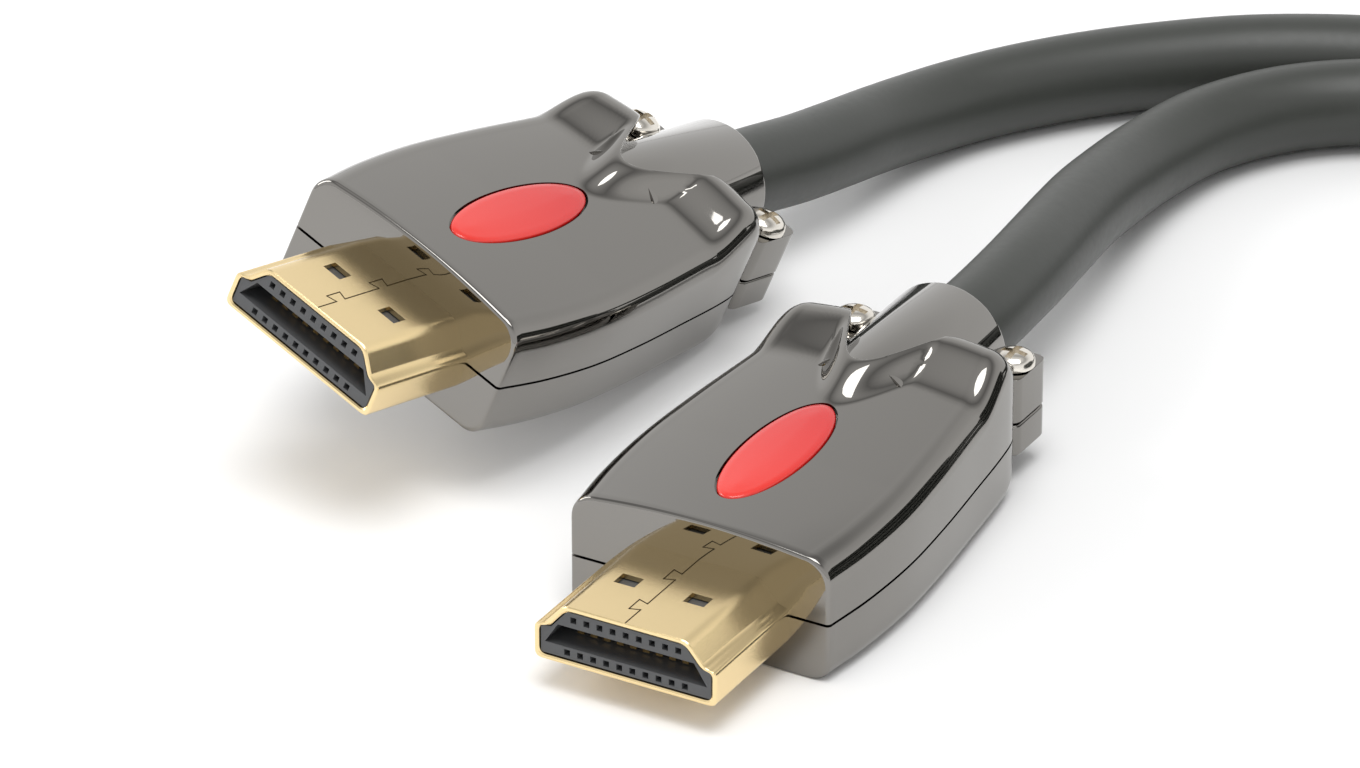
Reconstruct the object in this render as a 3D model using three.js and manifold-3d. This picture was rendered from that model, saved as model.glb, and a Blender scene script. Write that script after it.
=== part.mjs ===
// An HDMI cable with a metal-hooded plug on each end, its slack wound in a tied coil.
// Millimetres, +Z up, Z = 0 is the table. The near plug lies flat along Y with its mouth towards -Y.
// Every plug is modelled once in its own frame: X across, Y rearward from the mouth, Z up from the
// underside of the hood.
import * as THREE from 'three';
import * as BufferGeometryUtils from 'three/addons/utils/BufferGeometryUtils.js';
import Module from 'manifold-3d';

const wasm = await Module();
wasm.setup();

// Driving dimensions

// Clearance between pieces that lie inside or against one another.
const FIT = 0.1;
// Gap where one piece stops in front of another.
const SEAT_GAP = 0.3;
// How far a cutting tool reaches past the face that it opens.
const PAST = 0.5;

const shell = {
  width: 13.9,
  height: 4.45,
  wall: 0.35,
  sideHeight: 2.6,
  shoulderInset: 0.82,
  shoulderRise: 0.17,
  topWidth: 9.5,
  exposed: 9.9,
  seated: 6,
  bottomZ: 2.3,
  windowWidth: 1.6,
  windowLength: 1.3,
  windowX: 2.65,
  windowY: 5.15,
};

const insulator = {
  recess: 0.15,
  rearGap: 0.3,
  slotBottom: 1.3,
  slotHeight: 1.55,
  slotWidth: 12.4,
  slotTopWidth: 10.4,
  windowSize: 0.45,
  windowDepth: 2.5,
  lowerWindowZ: 0.88,
  upperWindowZ: 3.45,
};

const contact = {
  pitch: 1,
  lowerCount: 10,
  upperCount: 9,
  width: 0.5,
  thickness: 0.2,
  tipY: 2,
  crestY: 3.2,
  footY: 6,
  rearY: 13,
  crestRise: 0.45,
};

const hood = {
  length: 30.5,
  partingZ: 4.4,
  partingGap: 0.2,
  frontTopZ: 9.7,
  badgeTopZ: 10,
  rearTopZ: 10.7,
  crown: 0.75,
  shoulderRadius: 1.9,
  undersideRadius: 1.4,
  notchDepth: 8.6,
  notchHalfWidth: 6,
  lipRise: 1.5,
  lipLength: 4.5,
  earSetback: 3.2,
  earDrop: 2.5,
  heelRise: 1.6,
  stations: 16,
};
// Half width of the hood at stations counted back from its front face.
const hoodSide = [
  [0, 9.95],
  [4.6, 10.5],
  [10, 10.65],
  [15.6, 10.25],
  [21.2, 9.6],
  [27, 8.85],
  [29.2, 8.3],
  [30.5, 7.3],
];

const badge = { length: 14, width: 4.9, thickness: 0.6, proud: 0.1, setback: 10.6, segments: 36 };

const cable = { diameter: 6.5, sides: 10 };

const clamp = {
  axisZ: 6.93,
  neckRadius: 4.7,
  lugHalfWidth: 7.75,
  lugLength: 4.4,
  lugTopZ: 7.87,
  lugBottomZ: 1.84,
  boreClearance: 0.3,
  cornerRadius: 0.6,
  segments: 20,
};

const screw = {
  x: 6.3,
  headRadius: 1.5,
  headHeight: 1,
  shankRadius: 0.8,
  shankDepth: 5,
  slotWidth: 0.5,
  slotLength: 1.9,
  slotDepth: 0.5,
  segments: 20,
};

const tie = { width: 12, thickness: 0.8 };

// Where the two plugs stand. The near hood's underside is centred on the origin.
const nearPlug = { position: [0, -24, 0], turn: [0, 0, 0] };
// The far plug lies tilted on its rear corner, held so by its own cable: pitch, roll, then heading.
const farPlug = { position: [-33.8, -12.2, 9.95], turn: [-10.8, 18.5, -8] };

// The coil of slack: layers of turns, wound in and out by turns from the table upwards.
const coil = {
  centre: [71.2, 43.5],
  innerRadius: 25.9,
  turnPitch: 6.6,
  turnsPerLayer: 1.5,
  layers: 4,
  segments: 48,
  tieAngle: -60,
};

// Routes of the cable's middle from inside each clamp to the coil's rim.
const nearRoute = [
  [0, 17, 6.93],
  [0, 21, 6.93],
  [0, 26, 6.9],
  [-0.6, 33, 6.6],
  [-1.7, 40, 5.9],
  [-2.9, 47, 5],
  [-3.6, 53, 4.1],
  [-3.7, 59, 3.5],
  [-2.5, 65.8, 3.3],
  [1, 71.9, 3.3],
  [6.3, 76.3, 3.3],
  [12.8, 78.7, 3.3],
  [19.8, 78.7, 3.4],
  [26.3, 76.3, 3.5],
  [31.6, 71.9, 3.7],
  [35.1, 65.8, 3.9],
  [36.3, 59, 4.1],
  [35.9, 51, 4.3],
  [35.4, 43.5, 4.4],
];
const farRoute = [
  [-25.8, 28.6, 8.6],
  [-25.3, 32.6, 7.9],
  [-24.6, 37.4, 7],
  [-23.9, 42.2, 6],
  [-23.4, 47.1, 5.1],
  [-23, 52, 4.2],
  [-22.1, 56.5, 3.6],
  [-20.5, 60.9, 3.3],
  [-17.9, 65.2, 3.3],
  [-14.6, 69.5, 3.3],
  [-10.6, 73.7, 3.3],
  [-5.2, 78.3, 3.3],
  [1.2, 82, 3.3],
  [8.4, 84.6, 3.4],
  [16.1, 85.7, 4],
  [24, 86, 5.3],
  [32, 85.9, 7.5],
  [40, 85.5, 10.7],
  [48, 84.8, 14.5],
  [56, 83.7, 18.4],
  [64, 82.2, 21.6],
  [72, 80.3, 23.7],
  [80.5, 78.1, 24.2],
];
// Length of one straight step of a modelled stretch, and the step in which its end is trimmed.
const routeStep = 8;
const trimStep = 0.5;

// Finishes

const gold = { color: 0xc8a455, roughness: 0.28, metalness: 1 };
const contactGold = { color: 0xd9b266, roughness: 0.3, metalness: 1 };
const blackChrome = { color: 0x6f6b67, roughness: 0.12, metalness: 1 };
const nickel = { color: 0xc9c2b2, roughness: 0.2, metalness: 1 };
const greyPlastic = { color: 0x57585a, roughness: 0.5, metalness: 0 };
const redEnamel = { color: 0xe0332b, roughness: 0.3, metalness: 0 };
const sheath = { color: 0x5d5f5c, roughness: 0.45, metalness: 0 };
const strap = { color: 0x1c1c1d, roughness: 0.8, metalness: 0 };

// Solids: joining, cutting and closing

function toSolid(geometry) {
  const plain = geometry.clone();
  plain.deleteAttribute('normal');
  plain.deleteAttribute('uv');
  const merged = BufferGeometryUtils.mergeVertices(plain, 1e-5);
  const vertProperties = new Float32Array(merged.attributes.position.array);
  const triVerts = new Uint32Array(merged.index.array);
  return new wasm.Manifold(new wasm.Mesh({ numProp: 3, vertProperties, triVerts }));
}

function fromSolid(solid) {
  const mesh = solid.getMesh();
  const geometry = new THREE.BufferGeometry();
  geometry.setAttribute('position', new THREE.BufferAttribute(mesh.vertProperties, 3));
  geometry.setIndex(new THREE.BufferAttribute(mesh.triVerts, 1));
  geometry.computeVertexNormals();
  return geometry;
}

function join(...geometries) {
  return fromSolid(geometries.map(toSolid).reduce((whole, piece) => whole.add(piece)));
}

function cut(geometry, ...tools) {
  return fromSolid(tools.map(toSolid).reduce((whole, tool) => whole.subtract(tool), toSolid(geometry)));
}

function box(x0, x1, y0, y1, z0, z1) {
  const geometry = new THREE.BoxGeometry(x1 - x0, y1 - y0, z1 - z0);
  return geometry.translate((x0 + x1) / 2, (y0 + y1) / 2, (z0 + z1) / 2);
}

// An outline drawn in X and Z, extruded along Y from y0 to y1.
function alongY(outline, y0, y1) {
  const geometry = new THREE.ExtrudeGeometry(outline, { depth: y1 - y0, bevelEnabled: false });
  return geometry.rotateX(Math.PI / 2).translate(0, y1, 0);
}

function cylinderAlongY(radius, y0, y1, z, segments) {
  const geometry = new THREE.CylinderGeometry(radius, radius, y1 - y0, segments);
  return geometry.translate(0, (y0 + y1) / 2, z);
}

function polygon(points) {
  return new THREE.Shape(points.map(([x, y]) => new THREE.Vector2(x, y)));
}

function smoothStep(value) {
  const t = THREE.MathUtils.clamp(value, 0, 1);
  return t * t * (3 - 2 * t);
}

// Shell

// The mouth's outline, wide side down, grown or shrunk by an offset.
function shellOutline(offset) {
  const half = shell.width / 2 + offset;
  const shoulder = shell.width / 2 - shell.shoulderInset + offset;
  const topHalf = shell.topWidth / 2 + offset * 0.6;
  const z0 = shell.bottomZ - offset;
  const side = shell.bottomZ + shell.sideHeight + offset * 0.4;
  const step = side + shell.shoulderRise;
  const top = shell.bottomZ + shell.height + offset;
  return [
    [-half, z0], [half, z0], [half, side], [shoulder, step],
    [topHalf, top], [-topHalf, top], [-shoulder, step], [-half, side],
  ];
}

function makeShell() {
  const outline = polygon(shellOutline(0));
  outline.holes.push(polygon(shellOutline(-shell.wall)));
  const tube = alongY(outline, 0, shell.exposed + shell.seated);
  const roof = shell.bottomZ + shell.height;
  const windows = [-shell.windowX, shell.windowX].map((x) => box(
    x - shell.windowWidth / 2, x + shell.windowWidth / 2,
    shell.windowY - shell.windowLength / 2, shell.windowY + shell.windowLength / 2,
    roof - shell.wall - PAST, roof + PAST,
  ));
  return cut(tube, ...windows);
}

// Insulator and contacts

function contactColumns(count) {
  return Array.from({ length: count }, (_, i) => (i - (count - 1) / 2) * contact.pitch);
}

function makeInsulator() {
  const y0 = insulator.recess;
  const y1 = shell.exposed + shell.seated - insulator.rearGap;
  const body = alongY(polygon(shellOutline(-shell.wall - FIT)), y0, y1);
  const floor = shell.bottomZ + insulator.slotBottom;
  const ceiling = floor + insulator.slotHeight;
  const half = insulator.slotWidth / 2;
  const topHalf = insulator.slotTopWidth / 2;
  const slot = polygon([[-half, floor], [half, floor], [topHalf, ceiling], [-topHalf, ceiling]]);
  const rows = [
    [contact.lowerCount, insulator.lowerWindowZ],
    [contact.upperCount, insulator.upperWindowZ],
  ];
  const reach = insulator.windowSize / 2;
  const windows = rows.flatMap(([count, height]) => contactColumns(count).map((x) => {
    const z = shell.bottomZ + height;
    return box(x - reach, x + reach, y0 - PAST, y0 + insulator.windowDepth, z - reach, z + reach);
  }));
  return cut(body, alongY(slot, y0 - PAST, y1 + PAST), ...windows);
}

// A spring contact of the lower row; side is 1 on the slot's floor and -1 under its ceiling.
function makeContact(x, side) {
  const floor = shell.bottomZ + insulator.slotBottom;
  const seat = (side > 0 ? floor : floor + insulator.slotHeight) + side * FIT;
  const crest = seat + side * contact.crestRise;
  const thick = side * contact.thickness;
  const profile = new THREE.Shape([
    new THREE.Vector2(contact.tipY, seat),
    new THREE.Vector2(contact.crestY, crest),
    new THREE.Vector2(contact.footY, seat),
    new THREE.Vector2(contact.rearY, seat),
    new THREE.Vector2(contact.rearY, seat + thick),
    new THREE.Vector2(contact.footY, seat + thick),
    new THREE.Vector2(contact.crestY, crest + thick),
    new THREE.Vector2(contact.tipY, seat + thick),
  ]);
  const strip = new THREE.ExtrudeGeometry(profile, { depth: contact.width, bevelEnabled: false });
  const axes = new THREE.Matrix4().set(0, 0, 1, x - contact.width / 2, 1, 0, 0, 0, 0, 1, 0, 0, 0, 0, 0, 1);
  return strip.applyMatrix4(axes);
}

// Hood halves

const hoodFront = shell.exposed;
const hoodRear = hoodFront + hood.length;
const sideCurve = new THREE.SplineCurve(hoodSide.map(([y, x]) => new THREE.Vector2(y, x)));

// How far back the hood reaches at x: a notch between the two ears leaves room for the clamp.
function hoodReach(x) {
  const blend = (1 - Math.cos(Math.PI * Math.min(Math.abs(x) / hood.notchHalfWidth, 1))) / 2;
  return hoodRear - hood.notchDepth * (1 - blend);
}

// Height of the hood's top at x, y, inside its shoulders.
function hoodTop(x, y, halfWidth) {
  const t = (y - hoodFront) / hood.length;
  const middle = badge.setback / hood.length;
  const base = t < middle
    ? THREE.MathUtils.lerp(hood.frontTopZ, hood.badgeTopZ, t / middle)
    : THREE.MathUtils.lerp(hood.badgeTopZ, hood.rearTopZ, (t - middle) / (1 - middle));
  const crest = hoodRear - hood.earSetback;
  const rim = Math.min(hoodReach(x), crest);
  const lip = hood.lipRise * smoothStep(1 - (rim - y) / hood.lipLength);
  const drop = hood.earDrop * Math.max(0, (y - crest) / hood.earSetback) ** 2;
  return base - hood.crown * (x / halfWidth) ** 2 + lip - drop;
}

// Height of the hood's underside, lifted a little at its heel.
function hoodUnderside(y) {
  const crest = hoodRear - hood.earSetback;
  return hood.heelRise * Math.max(0, (y - crest) / hood.earSetback) ** 2;
}

// One closed half, from its flat parting face to the surface that surfaceZ gives. The corner
// between side and surface has a radius, and reach gives the rear end at each x.
function hoodHalf(partingZ, surfaceZ, radius, reach) {
  const up = Math.sign(surfaceZ(0, hoodFront, 1) - partingZ);
  const across = [0.82, 0.64, 0.47, 0.31, 0.15, 0];
  const arc = [0, 22.5, 45, 67.5];
  const rows = [];
  for (let i = 0; i <= hood.stations; i += 1) {
    const t = i / hood.stations;
    const { x: along, y: half } = sideCurve.getPoint(t);
    const y = hoodFront + along;
    const flat = half - radius;
    const edge = surfaceZ(flat, y, half);
    const right = [[half, y, partingZ]];
    for (const angle of arc) {
      const a = THREE.MathUtils.degToRad(angle);
      right.push([flat + radius * Math.cos(a), y, edge - up * radius * (1 - Math.sin(a))]);
    }
    right.push([flat, y, edge]);
    for (const share of across) {
      const x = flat * share;
      const yHere = hoodFront + (along / hood.length) * (reach(x) - hoodFront);
      right.push([x, yHere, surfaceZ(x, yHere, half)]);
    }
    const left = right.slice(0, -1).reverse().map(([x, yHere, z]) => [-x, yHere, z]);
    rows.push([...right, ...left]);
  }
  return closeHalf(rows, partingZ, up);
}

// Joins rows of points into one closed solid standing on its parting plane.
function closeHalf(rows, partingZ, up) {
  const triangles = [];
  const face = (a, b, c) => triangles.push(up > 0 ? [a, b, c] : [a, c, b]);
  const last = rows.length - 1;
  const width = rows[0].length;
  for (let i = 0; i < last; i += 1) {
    for (let j = 0; j < width - 1; j += 1) {
      face(rows[i][j], rows[i + 1][j], rows[i + 1][j + 1]);
      face(rows[i][j], rows[i + 1][j + 1], rows[i][j + 1]);
    }
  }
  for (let j = 1; j < width - 1; j += 1) {
    face(rows[0][0], rows[0][j], rows[0][j + 1]);
  }
  const foot = rows[last].map(([x, y]) => [x, y, partingZ]);
  for (let j = 0; j < width - 1; j += 1) {
    face(rows[last][j], foot[j], foot[j + 1]);
    face(rows[last][j], foot[j + 1], rows[last][j + 1]);
  }
  const ring = [
    ...rows.map((row) => row[0]),
    ...foot.slice(1, -1),
    ...rows.map((row) => row[width - 1]).reverse(),
  ];
  const unique = ring.filter((p, i) => i === 0 || Math.hypot(p[0] - ring[i - 1][0], p[1] - ring[i - 1][1]) > 1e-6);
  const contour = unique.map(([x, y]) => new THREE.Vector2(x, y));
  for (const [a, b, c] of THREE.ShapeUtils.triangulateShape(contour, [])) {
    face(unique[a], unique[c], unique[b]);
  }
  const geometry = new THREE.BufferGeometry();
  geometry.setAttribute('position', new THREE.Float32BufferAttribute(triangles.flat(2), 3));
  return dropSlivers(BufferGeometryUtils.mergeVertices(geometry, 1e-5));
}

// Removes the triangles that have lost a side to merged vertices.
function dropSlivers(geometry) {
  const index = geometry.index.array;
  const kept = [];
  for (let i = 0; i < index.length; i += 3) {
    const [a, b, c] = index.slice(i, i + 3);
    if (a !== b && b !== c && a !== c) {
      kept.push(a, b, c);
    }
  }
  geometry.setIndex(kept);
  return geometry;
}

const lugFront = hoodRear + SEAT_GAP;
const clampRear = lugFront + clamp.lugLength;
const neckFront = hoodRear - hood.notchDepth + SEAT_GAP;

function shellPocket() {
  const room = polygon(shellOutline(2 * FIT));
  return alongY(room, hoodFront - PAST, hoodFront + shell.seated + SEAT_GAP);
}

// The room that the neck of the clamp takes in both halves.
function neckPocket() {
  const radius = clamp.neckRadius + FIT;
  const y0 = neckFront - SEAT_GAP;
  const y1 = hoodRear + PAST;
  const arch = cylinderAlongY(radius, y0, y1, clamp.axisZ, 2 * clamp.segments);
  const below = box(-radius, radius, y0, y1, hood.partingZ, clamp.axisZ);
  return join(arch, below);
}

function ellipse(halfX, halfY) {
  const curve = new THREE.EllipseCurve(0, 0, halfX, halfY, 0, 2 * Math.PI);
  return new THREE.Shape(curve.getPoints(badge.segments).slice(0, -1));
}

// The plane that the badge lies in: tilted with the hood's top.
function placeOnTop(geometry, depth) {
  const y = hoodFront + badge.setback;
  const reach = badge.length / 2;
  const rise = hoodTop(0, y + reach, hood.length) - hoodTop(0, y - reach, hood.length);
  geometry.rotateX(Math.atan2(rise, badge.length));
  return geometry.translate(0, y, hoodTop(0, y, hood.length) - depth);
}

function makeBadge() {
  const outline = ellipse(badge.width / 2, badge.length / 2);
  const disc = new THREE.ExtrudeGeometry(outline, { depth: badge.thickness, bevelEnabled: false });
  return placeOnTop(disc, badge.thickness - badge.proud);
}

function badgePocket() {
  const outline = ellipse(badge.width / 2 + FIT, badge.length / 2 + FIT);
  const tool = new THREE.ExtrudeGeometry(outline, { depth: badge.thickness + PAST, bevelEnabled: false });
  return placeOnTop(tool, badge.thickness - badge.proud + FIT);
}

function makeUpperHood() {
  const partingZ = hood.partingZ + hood.partingGap / 2;
  const half = hoodHalf(partingZ, hoodTop, hood.shoulderRadius, hoodReach);
  return cut(half, shellPocket(), neckPocket(), badgePocket());
}

function makeLowerHood() {
  const partingZ = hood.partingZ - hood.partingGap / 2;
  const underside = (x, y) => hoodUnderside(y);
  const half = hoodHalf(partingZ, underside, hood.undersideRadius, () => hoodRear);
  return cut(half, shellPocket(), neckPocket());
}

// Cable clamp and its screws

const screwY = lugFront + clamp.lugLength / 2;

function lugPlate(z0, z1) {
  const half = clamp.lugHalfWidth;
  const r = clamp.cornerRadius;
  const plan = new THREE.Shape();
  plan.moveTo(-half, lugFront);
  plan.lineTo(half, lugFront);
  plan.lineTo(half, clampRear - r);
  plan.absarc(half - r, clampRear - r, r, 0, Math.PI / 2, false);
  plan.lineTo(-half + r, clampRear);
  plan.absarc(-half + r, clampRear - r, r, Math.PI / 2, Math.PI, false);
  const plate = new THREE.ExtrudeGeometry(plan, { depth: z1 - z0, bevelEnabled: false, curveSegments: 3 });
  return plate.translate(0, 0, z0);
}

function clampBore() {
  const radius = cable.diameter / 2 + clamp.boreClearance;
  return cylinderAlongY(radius, neckFront - PAST, clampRear + PAST, clamp.axisZ, clamp.segments);
}

function screwHole(x) {
  const z0 = clamp.lugTopZ - screw.shankDepth - SEAT_GAP;
  const z1 = clamp.lugTopZ + PAST;
  const hole = new THREE.CylinderGeometry(screw.shankRadius + FIT, screw.shankRadius + FIT, z1 - z0, screw.segments);
  return hole.rotateX(Math.PI / 2).translate(x, screwY, (z0 + z1) / 2);
}

function makeUpperClamp() {
  const z0 = hood.partingZ + hood.partingGap / 2;
  const lugs = lugPlate(z0, clamp.lugTopZ);
  const arch = cylinderAlongY(clamp.neckRadius, neckFront, clampRear, clamp.axisZ, 2 * clamp.segments);
  const cheeks = box(-clamp.neckRadius, clamp.neckRadius, neckFront, clampRear, z0, clamp.axisZ);
  const whole = join(lugs, arch, cheeks);
  const reach = clamp.lugHalfWidth + PAST;
  const below = box(-reach, reach, neckFront - PAST, clampRear + PAST, -PAST, z0);
  return cut(whole, below, clampBore(), screwHole(-screw.x), screwHole(screw.x));
}

function makeLowerClamp() {
  const z1 = hood.partingZ - hood.partingGap / 2;
  const lugs = lugPlate(clamp.lugBottomZ, z1);
  const trough = cylinderAlongY(clamp.neckRadius, neckFront, clampRear, clamp.axisZ, 2 * clamp.segments);
  const reach = clamp.lugHalfWidth + PAST;
  const above = box(-reach, reach, neckFront - PAST, clampRear + PAST, z1, clamp.axisZ + 2 * clamp.neckRadius);
  return cut(join(lugs, trough), above, clampBore(), screwHole(-screw.x), screwHole(screw.x));
}

function makeScrew(x) {
  const seat = clamp.lugTopZ;
  const { headRadius, headHeight, shankRadius, shankDepth } = screw;
  const profile = [
    [0, -shankDepth], [shankRadius, -shankDepth], [shankRadius, FIT], [headRadius, FIT],
    [headRadius, FIT + headHeight * 0.4], [headRadius * 0.85, FIT + headHeight * 0.75],
    [headRadius * 0.5, FIT + headHeight * 0.95], [0, FIT + headHeight],
  ].map(([r, z]) => new THREE.Vector2(r, z));
  const body = new THREE.LatheGeometry(profile, screw.segments).rotateX(Math.PI / 2);
  const long = screw.slotLength / 2;
  const thin = screw.slotWidth / 2;
  const z0 = FIT + headHeight - screw.slotDepth;
  const cross = join(
    box(-long, long, -thin, thin, z0, z0 + headHeight),
    box(-thin, thin, -long, long, z0, z0 + headHeight),
  );
  return cut(body, cross).translate(x, screwY, seat);
}

// Plugs

function namedMesh(name, geometry, finish) {
  const mesh = new THREE.Mesh(geometry, new THREE.MeshStandardMaterial(finish));
  mesh.name = name;
  return mesh;
}

// Every piece of one plug in the plug's own frame, as name, geometry and finish.
function plugPieces() {
  const lower = contactColumns(contact.lowerCount)
    .map((x, i) => [`contact_lower_${i + 1}`, makeContact(x, 1), contactGold]);
  const upper = contactColumns(contact.upperCount)
    .map((x, i) => [`contact_upper_${i + 1}`, makeContact(x, -1), contactGold]);
  return [
    ['shell', makeShell(), gold],
    ['insulator', makeInsulator(), greyPlastic],
    ...lower,
    ...upper,
    ['hood_upper', makeUpperHood(), blackChrome],
    ['hood_lower', makeLowerHood(), blackChrome],
    ['badge', makeBadge(), redEnamel],
    ['clamp_upper', makeUpperClamp(), blackChrome],
    ['clamp_lower', makeLowerClamp(), blackChrome],
    ['screw_left', makeScrew(-screw.x), nickel],
    ['screw_right', makeScrew(screw.x), nickel],
  ];
}

function placePlug(prefix, pieces, { position, turn }) {
  const plug = new THREE.Group();
  for (const [name, geometry, finish] of pieces) {
    plug.add(namedMesh(`${prefix}_${name}`, geometry, finish));
  }
  const [pitch, roll, heading] = turn.map(THREE.MathUtils.degToRad);
  plug.rotation.set(pitch, roll, heading, 'ZXY');
  plug.position.set(...position);
  return plug;
}

// Cable, coil and tie

const cableRadius = cable.diameter / 2;
const coilOuter = coil.innerRadius + coil.turnPitch * coil.turnsPerLayer;
const coilRim = coilOuter + cableRadius;
const coilEye = coil.innerRadius - cableRadius;
const coilFloor = tie.thickness + SEAT_GAP;
const coilTop = coilFloor + coil.layers * coil.turnPitch;

// Whether both sides of the cable, at a share of the curve's length, lie outside the coil.
function clearsCoil(curve, share) {
  const middle = curve.getPointAt(share);
  const heading = curve.getTangentAt(share);
  const side = new THREE.Vector2(-heading.y, heading.x).setLength(cableRadius);
  const [x, y] = coil.centre;
  const away = [-1, 1].map((sign) => Math.hypot(middle.x + sign * side.x - x, middle.y + sign * side.y - y));
  return Math.min(...away) > coilRim + SEAT_GAP;
}

// The stretch of a route that lies outside the coil, in even steps.
function freeStretch(route) {
  const curve = new THREE.CatmullRomCurve3(route.map((point) => new THREE.Vector3(...point)));
  const whole = curve.getLength();
  let length = whole;
  while (!clearsCoil(curve, length / whole)) {
    length -= trimStep;
  }
  const steps = Math.round(length / routeStep);
  return Array.from({ length: steps + 1 }, (_, i) => curve.getPointAt((i / steps) * (length / whole)));
}

function makeTube(route) {
  const points = freeStretch(route);
  const section = new THREE.Shape();
  section.absarc(0, 0, cableRadius, 0, 2 * Math.PI, false);
  return new THREE.ExtrudeGeometry(section, {
    steps: points.length - 1,
    extrudePath: new THREE.CatmullRomCurve3(points),
    curveSegments: cable.sides / 2,
  });
}

function makeCoil() {
  const corners = [
    [coilEye, coilFloor], [coilRim, coilFloor], [coilRim, coilTop], [coilEye, coilTop], [coilEye, coilFloor],
  ];
  const profile = corners.map(([r, z]) => new THREE.Vector2(r, z));
  const ring = new THREE.LatheGeometry(profile, coil.segments).rotateX(Math.PI / 2);
  return ring.translate(coil.centre[0], coil.centre[1], 0);
}

// A flat strap closed round the bundle of turns.
function makeTie() {
  const halfWidth = tie.width / 2;
  const eye = Math.sqrt(coilEye ** 2 - halfWidth ** 2) * Math.cos(Math.PI / coil.segments);
  const inner = [eye - SEAT_GAP, coilRim + SEAT_GAP, tie.thickness, coilTop + SEAT_GAP];
  const frame = ([x0, x1, z0, z1], grow) => polygon([
    [x0 - grow, z0 - grow], [x1 + grow, z0 - grow], [x1 + grow, z1 + grow], [x0 - grow, z1 + grow],
  ]);
  const outline = frame(inner, tie.thickness);
  outline.holes.push(frame(inner, 0));
  const strapLoop = alongY(outline, -halfWidth, halfWidth);
  strapLoop.rotateZ(THREE.MathUtils.degToRad(coil.tieAngle));
  return strapLoop.translate(coil.centre[0], coil.centre[1], 0);
}

const hdmiCable = new THREE.Group();
const pieces = plugPieces();
hdmiCable.add(placePlug('near', pieces, nearPlug));
hdmiCable.add(placePlug('far', pieces, farPlug));
hdmiCable.add(namedMesh('cable_near', makeTube(nearRoute), sheath));
hdmiCable.add(namedMesh('cable_far', makeTube(farRoute), sheath));
hdmiCable.add(namedMesh('cable_coil', makeCoil(), sheath));
hdmiCable.add(namedMesh('cable_tie', makeTie(), strap));

export default hdmiCable;
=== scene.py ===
"""HDMI cable with metal-hooded plugs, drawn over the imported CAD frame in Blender.

Lengths in the dataclasses are millimetres unless a name ends in _m. Each plug is built in its own
frame: X across, Y rearward from the mouth, Z up from the underside of the hood.
"""

import logging
import math
from collections.abc import Sequence
from dataclasses import dataclass
from enum import Enum

import bmesh
import bpy
from mathutils import Matrix, Vector

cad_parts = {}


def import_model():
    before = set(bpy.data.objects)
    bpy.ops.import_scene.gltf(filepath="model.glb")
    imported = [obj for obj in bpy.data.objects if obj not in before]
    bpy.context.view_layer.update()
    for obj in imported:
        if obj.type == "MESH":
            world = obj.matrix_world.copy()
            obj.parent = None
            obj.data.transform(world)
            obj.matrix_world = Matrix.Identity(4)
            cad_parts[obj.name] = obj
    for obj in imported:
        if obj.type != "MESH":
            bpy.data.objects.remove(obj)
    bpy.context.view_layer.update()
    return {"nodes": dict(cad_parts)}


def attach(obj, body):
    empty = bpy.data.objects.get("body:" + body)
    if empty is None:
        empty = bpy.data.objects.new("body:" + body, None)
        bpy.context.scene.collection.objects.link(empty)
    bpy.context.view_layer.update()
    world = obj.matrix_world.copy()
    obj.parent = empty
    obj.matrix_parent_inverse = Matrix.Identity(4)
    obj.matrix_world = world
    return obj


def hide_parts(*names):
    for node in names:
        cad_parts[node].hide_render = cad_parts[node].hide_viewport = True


logger = logging.getLogger("hdmi_cable")

MM = 0.001
# The mesh attribute that keeps a point's place in its plug's own frame.
PLUG_PLACE = "plug_place"
# Points nearer than this, in metres, become one.
WELD_M = 1e-8
# Keeps a slope's divisor above nought.
TINY = 1e-6
# The most of a side that one rounded corner takes up.
CORNER_SHARE = 0.45
# The noise's levels of detail and middle value, and the bump's height in metres.
GRAIN_DETAIL = 4
GRAIN_MIDDLE = 0.5
GRAIN_BUMP_M = 0.0001
# The Mix node's sockets for colours, which share their names with those for numbers.
MIX_FACTOR, MIX_START, MIX_END, MIX_RESULT = 0, 6, 7, 2
Point = tuple[float, float, float]
Flat = tuple[float, float]


class Side(Enum):
    """The two ends of the cable."""

    NEAR = "near"
    FAR = "far"


class Half(Enum):
    """The two halves of a hood or a clamp."""

    UPPER = "upper"
    LOWER = "lower"


@dataclass(frozen=True)
class Placement:
    """Where a plug stands: its origin, and its pitch, roll and heading in degrees."""

    position: Point
    turn: Point

    def matrix(self) -> Matrix:
        """Return the matrix from the plug's frame, in metres, to the row frame."""
        pitch, roll, heading = (math.radians(angle) for angle in self.turn)
        spin = Matrix.Rotation(heading, 4, "Z") @ Matrix.Rotation(pitch, 4, "X")
        spin = spin @ Matrix.Rotation(roll, 4, "Y")
        return Matrix.Translation(Vector(self.position) * MM) @ spin


PLACEMENTS: dict[Side, Placement] = {
    Side.NEAR: Placement((0, -24, 0), (0, 0, 0)),
    Side.FAR: Placement((-33.8, -12.2, 9.95), (-10.8, 18.5, -8)),
}


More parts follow.
